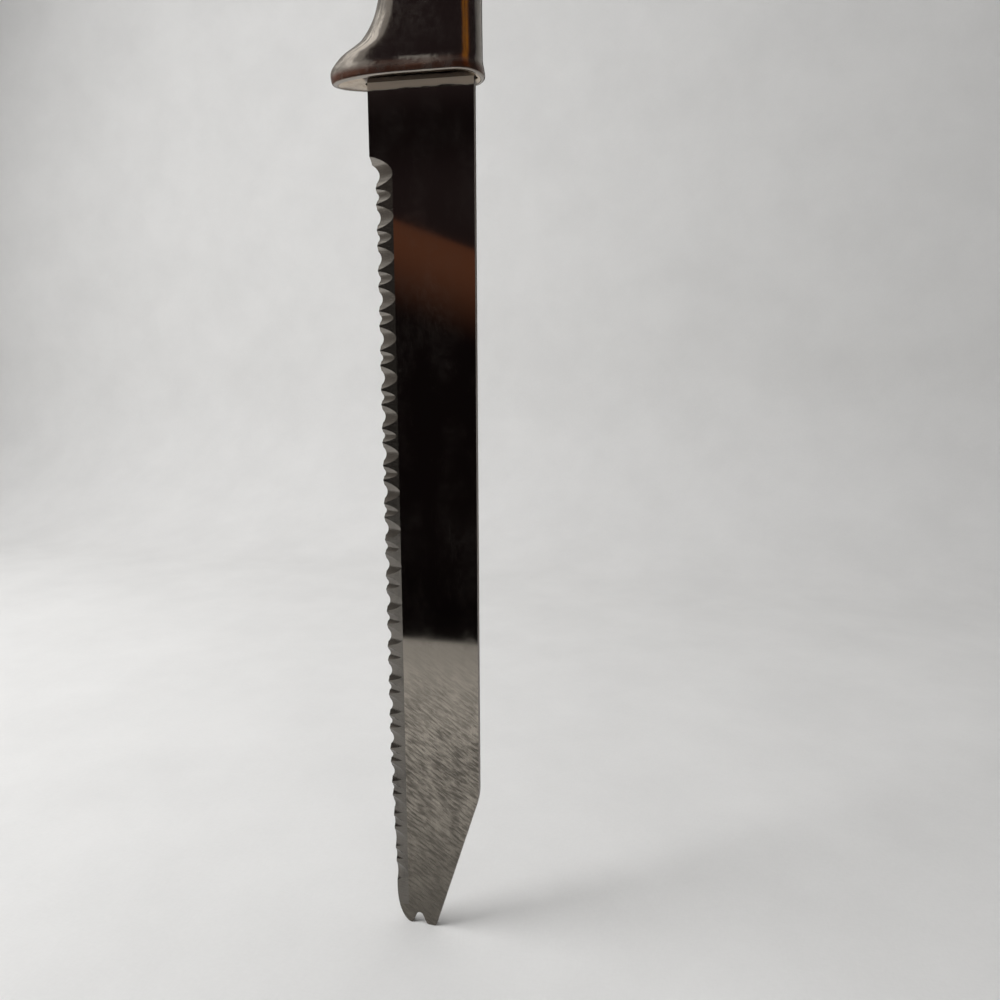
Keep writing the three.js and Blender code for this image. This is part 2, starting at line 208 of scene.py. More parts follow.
class KnifeFinish(bpy.types.PropertyGroup):
    """Colours and polish of the knife."""

    blade: colour("Blade steel", (0.45, 0.415, 0.365), "Colour of the polished blade")
    # Worn steel, darkened, also gives the painted shade at the fork and below the worn top.
    worn: colour("Worn steel", (0.3, 0.272, 0.234), "Colour of the scratched end of the blade")
    # The dull film is a painted reflection of the end plate: a light band on the blade just below the
    # plate.
    film: colour("Dull film", (0.47, 0.39, 0.31), "Colour of the dull film under the end plate")
    film_depth: size("Film depth", 1.4, "How far the dull film reaches down from the end plate")
    blade_polish: share("Blade roughness", 0.045, "Roughness of the untouched blade")
    worn_polish: share("Worn roughness", 0.2, "Roughness of the scratched end of the blade")
    worn_top: size("Worn top", 84, "Height at which the scratched end of the blade begins")
    side: colour("Side steel", (0.2, 0.175, 0.155), "Colour of the blade's narrow sides")
    side_polish: share("Side roughness", 0.42, "Roughness of the blade's narrow sides")
    ground: colour("Ground steel", (0.24, 0.222, 0.2), "Colour of the ground scallops")
    ground_polish: share("Ground roughness", 0.2, "Roughness of the ground scallops")
    handle: colour("Handle steel", (0.33, 0.302, 0.27), "Colour of the handle shells")
    handle_polish: share("Handle roughness", 0.12, "Roughness of the handle shells")
    plate: colour("Plate steel", (0.5, 0.42, 0.33), "Colour of the end plate")
    plate_polish: share("Plate roughness", 0.15, "Roughness of the end plate")
    # Tarnish, darkened, also gives the painted shade on the end plate along the blade.
    tarnish: colour("Tarnish", (0.16, 0.105, 0.07), "Colour of stains on the steel")
    # This colour paints a dark brown reflection in the flare just above the handle's rim.
    stain: colour("Rim stain", (0.1, 0.042, 0.026), "Colour of the brown stain above the handle's rim")
    cement: colour("Cement", (0.035, 0.026, 0.018), "Colour of the setting compound")


class KnifeStage(bpy.types.PropertyGroup):
    """The floor, the light and the camera."""

    cloth: colour("Cloth", (0.78, 0.775, 0.765), "Colour of the floor and backdrop")
    sky: colour("Surround", (0.86, 0.86, 0.85), "Colour behind the floor and backdrop")
    mirrored: colour("Mirrored surround", (0.42, 0.4, 0.38), "What the steel mirrors past the panels")
    sky_light: number("Surround light", 0.2, "Strength of the light from all round")
    key_light: power("Key light", 5.3, "Strength of the soft light on the left")
    top_light: power("Top light", 2, "Strength of the soft light above")
    dark: colour("Dark panel", (0.006, 0.0042, 0.0045), "Colour of the panels before the knife")
    brown: colour("Brown panel", (0.122, 0.047, 0.026), "Colour of the brown panel before the knife")
    amber: colour("Amber panel", (0.55, 0.21, 0.024), "Colour of the warm panel on the right")
    left: colour("Left panel", (0.5, 0.47, 0.44), "Colour of the lightest part of the panel on the left")
    window: colour("Bright panel", (0.95, 0.93, 0.9), "Colour of the bright panels above")
    flag_distance: size("Near panel", 216, "From the blade to the low dark panel before it")
    panel_distance: size("Far panels", 600, "From the blade to the tall dark panels before it")
    lens: FloatProperty(
        name="Lens", description="Focal length of the camera", default=27.036, unit="CAMERA"
    )
    camera_yaw: angle("Camera yaw", 14, "How far the camera stands round to the right")
    camera_pitch: angle("Camera pitch", 8.71, "How far the camera looks down")
    camera_roll: angle("Camera roll", -0.14, "How far the camera is turned about its view")
    camera_place: FloatVectorProperty(
        name="Camera place", description="Where the camera stands", size=3,
        default=(0.06488, -0.17276, 0.14313), unit="LENGTH", subtype="TRANSLATION",
    )


# Shapes


def soft_corner(before, corner, after, distance, steps):
    """Points of a corner that is softened over a distance along both of its sides."""
    before, corner, after = (np.array(p, float) for p in (before, corner, after))
    start = corner + (before - corner) * distance / np.linalg.norm(before - corner)
    end = corner + (after - corner) * distance / np.linalg.norm(after - corner)
    t = np.linspace(0, 1, steps + 1)[:, None]
    return [tuple(p) for p in (1 - t) ** 2 * start + 2 * t * (1 - t) * corner + t * t * end]


def smooth_curve(stations):
    """A curve through stations of height and value that never overshoots them."""
    heights, values = (np.array(a, float) for a in zip(*stations))
    runs = np.diff(heights)
    steps = np.diff(values) / runs
    slopes = np.zeros(len(values))
    for i in range(1, len(values) - 1):
        below, above = steps[i - 1], steps[i]
        if below * above > 0:
            low, high = 2 * runs[i] + runs[i - 1], runs[i] + 2 * runs[i - 1]
            slopes[i] = (low + high) / (low / below + high / above)

    def at(height):
        k = int(np.clip(np.searchsorted(heights, height, side="right") - 1, 0, len(runs) - 1))
        t = min(max((height - heights[k]) / runs[k], 0), 1)
        ease = t * t * (3 - 2 * t)
        lead = t * (1 - t) ** 2 * runs[k] * slopes[k]
        trail = t * t * (t - 1) * runs[k] * slopes[k + 1]
        return values[k] + (values[k + 1] - values[k]) * ease + lead + trail

    return at


def finished(name, mesh, materials, sharp_degrees):
    """A new piece from a mesh, smooth but for the edges that turn by more than an angle."""
    for material in materials:
        mesh.materials.append(material)
    built = bmesh.new()
    built.from_mesh(mesh)
    bmesh.ops.remove_doubles(built, verts=built.verts, dist=WELD)
    bmesh.ops.dissolve_degenerate(built, edges=built.edges, dist=WELD)
    bmesh.ops.recalc_face_normals(built, faces=built.faces)
    limit = math.radians(sharp_degrees)
    for edge in built.edges:
        edge.smooth = edge.is_manifold and edge.calc_face_angle(0) < limit
    for face in built.faces:
        face.smooth = True
    built.to_mesh(mesh)
    built.free()
    piece = bpy.data.objects.new(name, mesh)
    bpy.context.scene.collection.objects.link(piece)
    return piece


def mesh_of(name, points, faces):
    mesh = bpy.data.meshes.new(name)
    mesh.from_pydata([tuple(p) for p in points], [], faces)
    mesh.update()
    return mesh


def grid_faces(rows, columns):
    """Four-sided faces between rows of points."""
    return [
        (r * columns + k, r * columns + k + 1, (r + 1) * columns + k + 1, (r + 1) * columns + k)
        for r in range(rows - 1) for k in range(columns - 1)
    ]


def stand_for(piece, node):
    """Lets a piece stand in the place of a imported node."""
    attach(piece, "root")
    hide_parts(node)


# Blade


def tang_side(blade, side, shoulder):
    """One side of the tang from the shoulder to its tip."""

    def point(height, inset=0.0):
        width = np.interp(height, [0, blade.tang_length], [blade.tang_width, blade.tang_tip])
        return blade.tang_place + side * (width / 2 - inset), shoulder + height

    points = [point(0)]
    for n in range(blade.tang_notches):
        low = blade.tang_notch_start + n * blade.tang_notch_pitch
        high = low + blade.tang_notch_height
        depth = blade.tang_notch_depth
        points += [point(low), point(low, depth), point(high, depth), point(high)]
    return points + [point(blade.tang_length)]


def blade_outline(blade, shoulder, top_scallop):
    """The blade's outline before grinding, as places across and heights."""
    half = blade.width / 2
    edge, nose = half - blade.edge_setback, half - blade.nose_setback
    notch_left = (blade.notch - blade.notch_mouth / 2, 0)
    notch_top_left = (blade.notch - blade.notch_top / 2, blade.notch_depth)
    notch_top_right = (blade.notch + blade.notch_top / 2, blade.notch_depth)
    notch_right = (blade.notch + blade.notch_mouth / 2, 0)
    clip_foot = (blade.spine_prong, 0)
    clip_top = (half, blade.clip_height)
    spine_top = (half, shoulder)
    soft = blade.prong_round
    turn = np.linspace(math.pi, 1.5 * math.pi, NOSE_POINTS)
    nose_curve = zip(
        blade.edge_prong + (nose + blade.edge_prong) * np.cos(turn),
        blade.nose_height * (1 + np.sin(turn)),
    )
    return [
        notch_left,
        *soft_corner(notch_left, notch_top_left, notch_top_right, soft, CORNER_STEPS),
        *soft_corner(notch_top_left, notch_top_right, notch_right, soft, CORNER_STEPS),
        *soft_corner(notch_top_right, notch_right, clip_foot, soft, CORNER_STEPS),
        *soft_corner(notch_right, clip_foot, clip_top, soft, CORNER_STEPS),
        *soft_corner(clip_foot, clip_top, spine_top, blade.clip_round, CLIP_STEPS),
        spine_top,
        *tang_side(blade, 1, shoulder),
        *reversed(tang_side(blade, -1, shoulder)),
        (-half, shoulder),
        (-half, top_scallop),
        (-edge, top_scallop),
        (-edge, blade.taper_height),
        *nose_curve,
    ]


def blank_mesh(blade, outline, top_scallop):
    """The unground blade, with its plain edges softened."""
    built = bmesh.new()
    front = [built.verts.new((x, -blade.thickness / 2, z)) for x, z in outline]
    face = built.faces.new(front)
    made = bmesh.ops.extrude_face_region(built, geom=[face])
    moved = [v for v in made["geom"] if isinstance(v, bmesh.types.BMVert)]
    bmesh.ops.translate(built, verts=moved, vec=(0, blade.thickness, 0))
    bmesh.ops.recalc_face_normals(built, faces=built.faces)
    inner_edge = -blade.width / 2 + blade.nose_setback + blade.arris
    soft = [
        e for e in built.edges
        if abs(e.verts[0].co.y - e.verts[1].co.y) < LEVEL
        and not all(v.co.x < inner_edge and v.co.z < top_scallop for v in e.verts)
    ]
    bmesh.ops.bevel(
        built, geom=soft, offset=blade.arris, segments=2, profile=0.5, affect="EDGES",
        clamp_overlap=True,
    )
    for face in built.faces:
        face.normal_update()
        face.material_index = 0 if abs(face.normal.y) > 0.99 else 1
    mesh = bpy.data.meshes.new("blade_blank")
    built.to_mesh(mesh)
    built.free()
    return mesh


def scallop_rows(blade, top_scallop):
    """Height, radius and depth of each scallop, from the heel to the nose."""
    draw = random.Random(SCALLOP_SEED)
    pitch = blade.large_pitch + blade.small_pitch
    pairs = int((top_scallop - blade.nose_height) / pitch)
    rows = []
    for half_step in range(2 * pairs + 1):
        large = half_step % 2 == 0
        stray = draw.uniform(-1, 1) * blade.scallop_drift if half_step else 0
        uneven = draw.uniform(-0.5, 0.5) * blade.scallop_drift
        rows.append((
            top_scallop - pitch * half_step / 2 + stray,
            blade.large_radius if large else blade.small_radius,
            (blade.large_depth if large else blade.small_depth) + uneven,
        ))
    return rows


def scallop_cutter(blade, top_scallop):
    """The space of all scallops: a prism whose edge follows one round groove after another."""
    slope = math.atan2(blade.thickness, blade.grind_run)
    out = np.array([-math.sin(slope), -math.cos(slope)])
    along = np.array([-math.cos(slope), math.sin(slope)])
    edge = blade.width / 2 - blade.edge_setback
    grooves = []
    for height, radius, depth in scallop_rows(blade, top_scallop):
        foot = np.array([depth + blade.grind_run - edge, -blade.thickness / 2])
        grooves.append((height, radius, foot @ out))
    bottom = grooves[-1][0] - grooves[-1][1]
    top = grooves[0][0] + grooves[0][1]
    heights = np.linspace(bottom, top, int((top - bottom) / GROOVE_STEP))
    reach = np.full(len(heights), np.inf)
    for height, radius, foot in grooves:
        inside = radius ** 2 - (heights - height) ** 2
        here = foot + radius - np.sqrt(np.maximum(inside, 0))
        reach = np.where(inside >= -1e-15, np.minimum(reach, here), reach)
    far = grooves[0][2] + 3 * blade.large_radius
    profile = [*zip(reach, heights), (far, top), (far, bottom)]
    near_end, far_end = 2 * MM, 18 * MM
    points = []
    for t in (near_end, far_end):
        for w, z in profile:
            x, y = w * out + t * along
            points.append((x, y, z))
    n = len(profile)
    sides = [(k, (k + 1) % n, n + (k + 1) % n, n + k) for k in range(n)]
    caps = [tuple(range(n)), tuple(reversed(range(n, 2 * n)))]
    return mesh_of("scallop_space", points, sides + caps)


def bevel_cutter(blade, top_scallop):
    """The wedge taken off the front of the teeth."""
    start = blade.bevel_run - blade.width / 2 + blade.edge_setback
    depth = blade.thickness - blade.edge_land

    def corner(widths, depths, height):
        return start - widths * blade.bevel_run, depths * depth - blade.thickness / 2, height

    def end_at(depths):
        return blade.bevel_end + depths * blade.bevel_end_length

    points = [
        corner(-1, -1, end_at(-1)), corner(2, -1, end_at(-1)), corner(2, 2, end_at(2)),
        corner(-1, -1, top_scallop), corner(2, -1, top_scallop), corner(2, 2, top_scallop),
    ]
    faces = [(0, 1, 2), (3, 5, 4), (0, 3, 4, 1), (1, 4, 5, 2), (2, 5, 3, 0)]
    return mesh_of("bevel_space", points, faces)


def cut_away(blank, cutters):
    """The mesh of a body with the cutters taken from it, their material on the new faces."""
    body = bpy.data.objects.new("cut_body", blank)
    bpy.context.scene.collection.objects.link(body)
    tools = []
    for mesh in cutters:
        built = bmesh.new()
        built.from_mesh(mesh)
        bmesh.ops.recalc_face_normals(built, faces=built.faces)
        built.to_mesh(mesh)
        built.free()
        tool = bpy.data.objects.new(mesh.name, mesh)
        bpy.context.scene.collection.objects.link(tool)
        tools.append(tool)
        step = body.modifiers.new(mesh.name, "BOOLEAN")
        step.operation = "DIFFERENCE"
        step.solver = "EXACT"
        step.object = tool
        step.material_mode = "TRANSFER"
    bpy.context.view_layer.update()
    graph = bpy.context.evaluated_depsgraph_get()
    result = bpy.data.meshes.new_from_object(body.evaluated_get(graph))
    for scrap in (body, *tools):
        bpy.data.objects.remove(scrap)
    return result


class KNIFE_OT_blade(bpy.types.Operator):
    """Make the ground blade with its fork and its hidden tang"""

    bl_idname = "knife.blade"
    bl_label = "Blade"

    def execute(self, context):
        blade = context.scene.knife_blade
        handle = context.scene.knife_handle
        top_scallop = blade.length - blade.top_scallop
        shoulder = blade.length + handle.plate_thickness - handle.slant * blade.width / 2
        outline = blade_outline(blade, shoulder, top_scallop)
        flat, ground = blade_material(context), ground_material(context)
        blank = blank_mesh(blade, outline, top_scallop)
        blank.materials.append(flat)
        blank.materials.append(side_material(context))
        cutters = [bevel_cutter(blade, top_scallop), scallop_cutter(blade, top_scallop)]
        for cutter in cutters:
            cutter.materials.append(ground)
        mesh = cut_away(blank, cutters)
        mesh.transform(Matrix.Translation((CENTRE_X, 0, 0)))
        mesh.name = "ground_blade"
        stand_for(finished("ground_blade", mesh, [], BLADE_SHARP), "blade")
        return {"FINISHED"}


# Handle


class HandleForm:
    """The outline and the thickness of the handle by height above its end face."""

    def __init__(self, blade, handle):
        self.handle = handle
        self.foot = blade.length
        half = blade.width / 2
        self.half_width = half
        self.butt_height = handle.length - handle.butt_round
        self.spine = smooth_curve([
            (handle.rim_round, half + handle.rim_spine),
            (handle.rim_height, half + handle.grip_spine),
            (handle.palm_height, half + handle.palm_spine),
            (self.butt_height, half + handle.butt_spine),
        ])
        self.grip = smooth_curve([
            (handle.guard_height, half + handle.guard),
            (handle.crest_height, half + handle.crest),
            (handle.flank_height, half + handle.flank),
            (handle.hollow_height, half + handle.hollow),
            (handle.neck_height, half + handle.neck),
            (handle.palm_height, half + handle.palm),
            (self.butt_height, half + handle.butt),
        ])
        self.thickness = smooth_curve([
            (handle.rim_round, handle.rim_thickness),
            (handle.rim_height, handle.neck_thickness),
            (handle.neck_height, handle.neck_thickness),
            (handle.palm_height, handle.palm_thickness),
            (self.butt_height, handle.butt_thickness),
        ])

    def placed(self, points):
        """Points of the handle moved onto the slanted end face, where the knife stands."""
        slant = self.handle.slant
        return [(x + CENTRE_X, y, self.foot + z - slant * x) for x, y, z in points]

    def belly(self, height):
        """The belly's reach: a round nose under the guard, then the grip."""
        handle = self.handle
        if height >= handle.guard_height:
            return self.grip(height)
        low = 1 - height / handle.guard_height
        rise = math.sqrt(1 - low * low)
        return self.half_width + handle.guard_foot + (handle.guard - handle.guard_foot) * rise

    def rounding(self, height):
        """How far the rim's rounded lower edge lies inside the rim."""
        radius = self.handle.rim_round
        low = max(1 - height / radius, 0)
        return radius * (1 - math.sqrt(1 - low * low))

    def belly_inset(self, height, inset):
        """Inset that keeps the wall's thickness where the guard slopes, with a solid nose."""
        if not inset:
            return 0
        nose = self.belly(height) - self.belly(0)
        if nose >= 0:
            return nose + inset
        step = 0.1 * MM
        rise = (self.belly(height + step) - self.belly(height - step)) / (2 * step)
        return inset * math.hypot(1, rise)

    def ends(self, height, inset, rounding):
        """The spine end and the belly end of a level section: middle, run and half thickness."""
        half = self.thickness(height) / 2
        belly = self.belly(height)
        low = height < self.handle.neck_height
        guard_run = belly - self.belly(self.handle.neck_height) if low else 0
        inside = half - inset - rounding
        belly_run = half + guard_run - self.belly_inset(height, inset) - rounding
        return (self.spine(height) - half, inside), (half + guard_run - belly, belly_run), inside

    def section(self, height, inset, turns, rounding=0.0, narrow=1.0):
        """Points of a level section, at turns given for its spine end and for its belly end."""
        (spine_x, spine_run), (belly_x, belly_run), inside = self.ends(height, inset, rounding)
        middle = (spine_x + belly_x) / 2
        points = []
        for x, run, turn in ((spine_x, spine_run, turns[0]), (belly_x, belly_run, turns[1])):
            across = middle + (x + run * np.cos(turn) - middle) * narrow
            points += zip(across, inside * np.sin(turn) * narrow)
        return points


def ring_heights(form):
    """Heights of a shell's rings: round the rim, crowded at the guard, even along the grip."""
    handle = form.handle
    rim = handle.rim_round * (1 - np.cos(np.linspace(0, math.pi / 2, RIM_RINGS)[:-1]))
    climb = np.linspace(0, 1, NECK_RINGS)[:-1] ** NECK_CROWDING
    neck = handle.rim_round + (handle.neck_height - handle.rim_round) * climb
    grip = np.linspace(handle.neck_height, form.butt_height, GRIP_RINGS)
    return [*rim, *neck, *grip]


def shell_skin(form, side, inset):
    """Rings of one half shell's outer or inner skin, from the end face to the crown."""
    fine = np.linspace(0, math.pi / 2, QUARTER_POINTS)
    turns = (-fine, 1.5 * math.pi - fine) if side < 0 else (fine, math.pi / 2 + fine)
    rings = []
    for height in ring_heights(form):
        rounding = 0 if inset else form.rounding(height)
        points = form.section(height, inset, turns, rounding)
        rings.append([(x, y, height) for x, y in points])
    dome = form.handle.length - inset - form.butt_height
    for lift in fine[1:-1]:
        height = form.butt_height + dome * math.sin(lift)
        points = form.section(form.butt_height, inset, turns, 0, math.cos(lift))
        rings.append([(x, y, height) for x, y in points])
    (spine_x, _), (belly_x, _), _ = form.ends(form.butt_height, inset, 0)
    return rings, ((spine_x + belly_x) / 2, 0, form.butt_height + dome)


def half_shell(form, side):
    """One half of the hollow handle, closed along the seam and the rim."""
    seam = form.handle.seam * side
    skins = [shell_skin(form, side, inset) for inset in (0, form.handle.wall)]
    points, starts, crowns = [], [], []
    for rings, crown in skins:
        starts.append(len(points))
        points += [p for ring in rings for p in ring]
        crowns.append(len(points))
        points.append(crown)
    rows, columns = len(skins[0][0]), len(skins[0][0][0])
    points = [(x, y + seam * max(0, 1 - abs(y) / (10 * abs(seam))), z) for x, y, z in points]

    def at(skin, row, column):
        return starts[skin] + row * columns + column

    faces = []
    for skin in (0, 1):
        for face in grid_faces(rows, columns):
            faces.append(tuple(starts[skin] + k for k in face))
        for c in range(columns - 1):
            faces.append((at(skin, rows - 1, c), at(skin, rows - 1, c + 1), crowns[skin]))
    for c in (0, columns - 1):
        for r in range(rows - 1):
            faces.append((at(0, r, c), at(0, r + 1, c), at(1, r + 1, c), at(1, r, c)))
        faces.append((at(0, rows - 1, c), crowns[0], crowns[1], at(1, rows - 1, c)))
    for c in range(columns - 1):
        faces.append((at(0, 0, c), at(0, 0, c + 1), at(1, 0, c + 1), at(1, 0, c)))
    return form.placed(points), faces


class KNIFE_OT_handle_shells(bpy.types.Operator):
    """Make the two pressed half shells of the hollow handle"""

    bl_idname = "knife.handle_shells"
    bl_label = "Handle Shells"

    def execute(self, context):
        form = HandleForm(context.scene.knife_blade, context.scene.knife_handle)
        steel = handle_material(context)
        for side, word in ((-1, "front"), (1, "back")):
            mesh = mesh_of(f"polished_shell_{word}", *half_shell(form, side))
            piece = finished(f"polished_shell_{word}", mesh, [steel], SHEET_SHARP)
            stand_for(piece, f"handle_shell_{word}")
        return {"FINISHED"}


class KNIFE_OT_end_plate(bpy.types.Operator):
    """Make the slotted plate that closes the handle's end"""

    bl_idname = "knife.end_plate"
    bl_label = "End Plate"

    def execute(self, context):
        blade, handle = context.scene.knife_blade, context.scene.knife_handle
        form = HandleForm(blade, handle)
        fine = np.linspace(-math.pi / 2, math.pi / 2, PLATE_END_POINTS)
        turns = (fine, fine + math.pi)
        inset = handle.wall + handle.plate_joint
        reach = blade.width / 2 + handle.slot_end
        room = blade.thickness / 2 + handle.slot_side

        def rim_loop(height, draw_in):
            return [(x, y, height) for x, y in form.section(max(height, 0), inset + draw_in, turns)]

        def slot_loop(height, draw_out):
            radius = room + draw_out
            loop = []
            for x, turn in ((reach - room, turns[0]), (room - reach, turns[1])):
                loop += [(x + radius * math.cos(t), radius * math.sin(t), height) for t in turn]
            return loop

        soft = handle.plate_arris
        bends = np.linspace(0, math.pi / 2, PLATE_ARRIS_POINTS)
        loops = [rim_loop(handle.plate_thickness, 0)]
        loops += [rim_loop(soft * (1 - math.sin(b)), soft * (1 - math.cos(b))) for b in bends]
        loops += [slot_loop(soft * (1 - math.cos(b)), soft * (1 - math.sin(b))) for b in bends]
        loops += [slot_loop(handle.plate_thickness, 0)]
        points = form.placed(p for loop in loops for p in loop)
        n, turns_of = len(loops[0]), len(loops)
        faces = []
        for i in range(turns_of):
            a, b = i * n, (i + 1) % turns_of * n
            faces += [(a + k, a + (k + 1) % n, b + (k + 1) % n, b + k) for k in range(n)]
        mesh = mesh_of("slotted_end_plate", points, faces)
        piece = finished("slotted_end_plate", mesh, [plate_material(context)], SHEET_SHARP)
        stand_for(piece, "end_plate")
        return {"FINISHED"}


class KNIFE_OT_cement(bpy.types.Operator):
    """Finish the setting compound that holds the tang"""

    bl_idname = "knife.cement"
    bl_label = "Cement"

    def execute(self, context):
        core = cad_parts["tang_cement"]
        core.data.materials.clear()
        core.data.materials.append(cement_material(context))
        return {"FINISHED"}


# Finishes


class Tree:
    """Short calls for building a node tree."""

    def __init__(self, tree):
        self.tree = tree

    def add(self, kind, settings=None, **inputs):
        node = self.tree.nodes.new("ShaderNode" + kind)
        for key, value in (settings or {}).items():
            setattr(node, key, value)
        for key, value in inputs.items():
            self.put(node, key.replace("_", " "), value)
        return node

    def put(self, node, key, value):
        socket = node.inputs[int(key) if key.isdigit() else key]
        if isinstance(value, bpy.types.NodeSocket):
            self.tree.links.new(value, socket)
        else:
            socket.default_value = value

    def math(self, operation, *values):
        node = self.add("Math", {"operation": operation})
        for k, value in enumerate(values):
            self.put(node, str(k), value)
        return node.outputs[0]

    def times(self, first, second):
        return self.math("MULTIPLY", first, second)

    def plus(self, first, second):
        return self.math("ADD", first, second)

    def minus(self, first, second):
        return self.math("SUBTRACT", first, second)

    def scaled(self, vector, scale):
        node = self.add("VectorMath", {"operation": "MULTIPLY"})
        self.put(node, "0", vector)
        self.put(node, "1", scale)
        return node.outputs[0]

    def ramp(self, value, low, high, to_low=0.0, to_high=1.0):
        """A soft change from one number to another while a value goes from low to high."""
        node = self.add("MapRange", {"interpolation_type": "SMOOTHSTEP"})
        keys = ("Value", "From Min", "From Max", "To Min", "To Max")
        for key, number_in in zip(keys, (value, low, high, to_low, to_high)):
            self.put(node, key, number_in)
        return node.outputs[0]

    def mix(self, factor, first, second):
        node = self.add("Mix", {"data_type": "RGBA"})
        self.put(node, "0", factor)
        self.put(node, "6", first)
        self.put(node, "7", second)
        return node.outputs[2]

    def noise(self, vector, scale, detail=2.0, roughness=0.5):
        node = self.add("TexNoise", Vector=vector, Scale=scale, Detail=detail, Roughness=roughness)
        return node.outputs[0]

    def relief(self, shader, height, strength, depth):
        """Raises a shader's surface by a height, over a depth in millimetres."""
        bump = self.add("Bump", Height=height, Strength=strength, Distance=depth * MM)
        self.put(shader, "Normal", bump.outputs[0])


def shared_group(name, inputs, outputs, fill):
    """A shader node group with named sockets, built once."""
    if name in bpy.data.node_groups:
        return bpy.data.node_groups[name]
    group = bpy.data.node_groups.new(name, "ShaderNodeTree")
    for label, kind, default in inputs:
        socket = group.interface.new_socket(label, in_out="INPUT", socket_type="NodeSocket" + kind)
        if default is not None:
            socket.default_value = default
    for label, kind in outputs:
        group.interface.new_socket(label, in_out="OUTPUT", socket_type="NodeSocket" + kind)
    source = group.nodes.new("NodeGroupInput")
    sink = group.nodes.new("NodeGroupOutput")
    results = fill(Tree(group), source.outputs)
    for label, value in results.items():
        group.links.new(value, sink.inputs[label])
    return group


def scratch_group():
    """Fine straight scratches on an upright face, turned by an angle."""

    def fill(tree, given):
        turned = tree.add(
            "VectorRotate", {"rotation_type": "Y_AXIS"}, Vector=given["Place"], Angle=given["Angle"]
        )
        drawn = tree.add("VectorMath", {"operation": "MULTIPLY"})
        tree.put(drawn, "0", turned.outputs[0])
        stretch = tree.add("CombineXYZ", X=given["Along"], Y=1.0, Z=given["Across"])
        tree.put(drawn, "1", stretch.outputs[0])
        lines = tree.noise(drawn.outputs[0], 1.0, 3.0, 0.6)
        marks = tree.ramp(lines, 0.52, 0.72)
        return {"Lines": lines, "Marks": marks}

    return shared_group(
        "Fine Scratches",
        [
            ("Place", "Vector", None), ("Angle", "Float", 0.0),
            ("Along", "Float", 0.06), ("Across", "Float", 4.0),
        ],
        [("Lines", "Float"), ("Marks", "Float")],
        fill,
    )


def smudge_group():
    """Soft patches left by handling, and small specks."""

    def fill(tree, given):
        broad = tree.noise(tree.scaled(given["Place"], (1, 1, 0.6)), 0.09, 3.0, 0.55)
        fine = tree.noise(given["Place"], 0.8, 4.0, 0.65)
        patches = tree.ramp(broad, 0.42, 0.66)
        blotches = tree.times(patches, tree.ramp(fine, 0.3, 0.7))
        specks = tree.ramp(tree.noise(given["Place"], 1.7, 2.0, 0.5), 0.71, 0.78)
        return {"Smudges": blotches, "Specks": specks}

    return shared_group(
        "Handling Smudges",
        [("Place", "Vector", None)],
        [("Smudges", "Float"), ("Specks", "Float")],
        fill,
    )


def blank_material(name):
    material = bpy.data.materials.new(name)
    material.use_nodes = True
    material.node_tree.nodes.clear()
    return material, Tree(material.node_tree)


def new_material(name):
    """A material with its tree, its shader and places on the piece in millimetres."""
    material, tree = blank_material(name)
    shader = tree.add("BsdfPrincipled")
    tree.put(tree.add("OutputMaterial"), "Surface", shader.outputs[0])
    place = tree.scaled(tree.add("TexCoord").outputs["Object"], (1 / MM, 1 / MM, 1 / MM))
    return material, tree, shader, place


def glowing_material(name, fill):
    """A panel's material that only glows, in the tone that is filled in for places in metres."""
    material, tree = blank_material(name)
    place = tree.add("TexCoord").outputs["Object"]
    tone = fill(tree, place, *tree.add("SeparateXYZ", Vector=place).outputs)
    glow = tree.add("Emission", Color=tone, Strength=1.0)
    tree.put(tree.add("OutputMaterial"), "Surface", glow.outputs[0])
    return material


def use(tree, group, **inputs):
    node = tree.add("Group", {"node_tree": group})
    for key, value in inputs.items():
        tree.put(node, key, value)
    return node.outputs


def rgba(values, gain=1.0):
    return (*(v * gain for v in values), 1)


def above_end_face(context, tree, place):
    """Height in millimetres above the slanted end face of the handle."""
    blade, handle = context.scene.knife_blade, context.scene.knife_handle
    x, y, z = tree.add("SeparateXYZ", Vector=place).outputs
    fall = tree.times(tree.minus(x, CENTRE_X / MM), handle.slant)
    return tree.minus(tree.plus(z, fall), blade.length / MM)


def dull_film(context, tree, place):
    """Mask of the light dull band on the blade along the end plate, a painted reflection of the plate,
    with an uneven lower edge.
    """
    uneven = tree.times(tree.noise(tree.scaled(place, (1, 1, 0)), 0.16, 2.0, 0.5), 1.2)
    above = tree.minus(above_end_face(context, tree, place), tree.minus(uneven, 0.6))
    depth = context.scene.knife_finish.film_depth / MM
    blur = 0.3
    return tree.ramp(above, -depth - blur, -depth + blur)


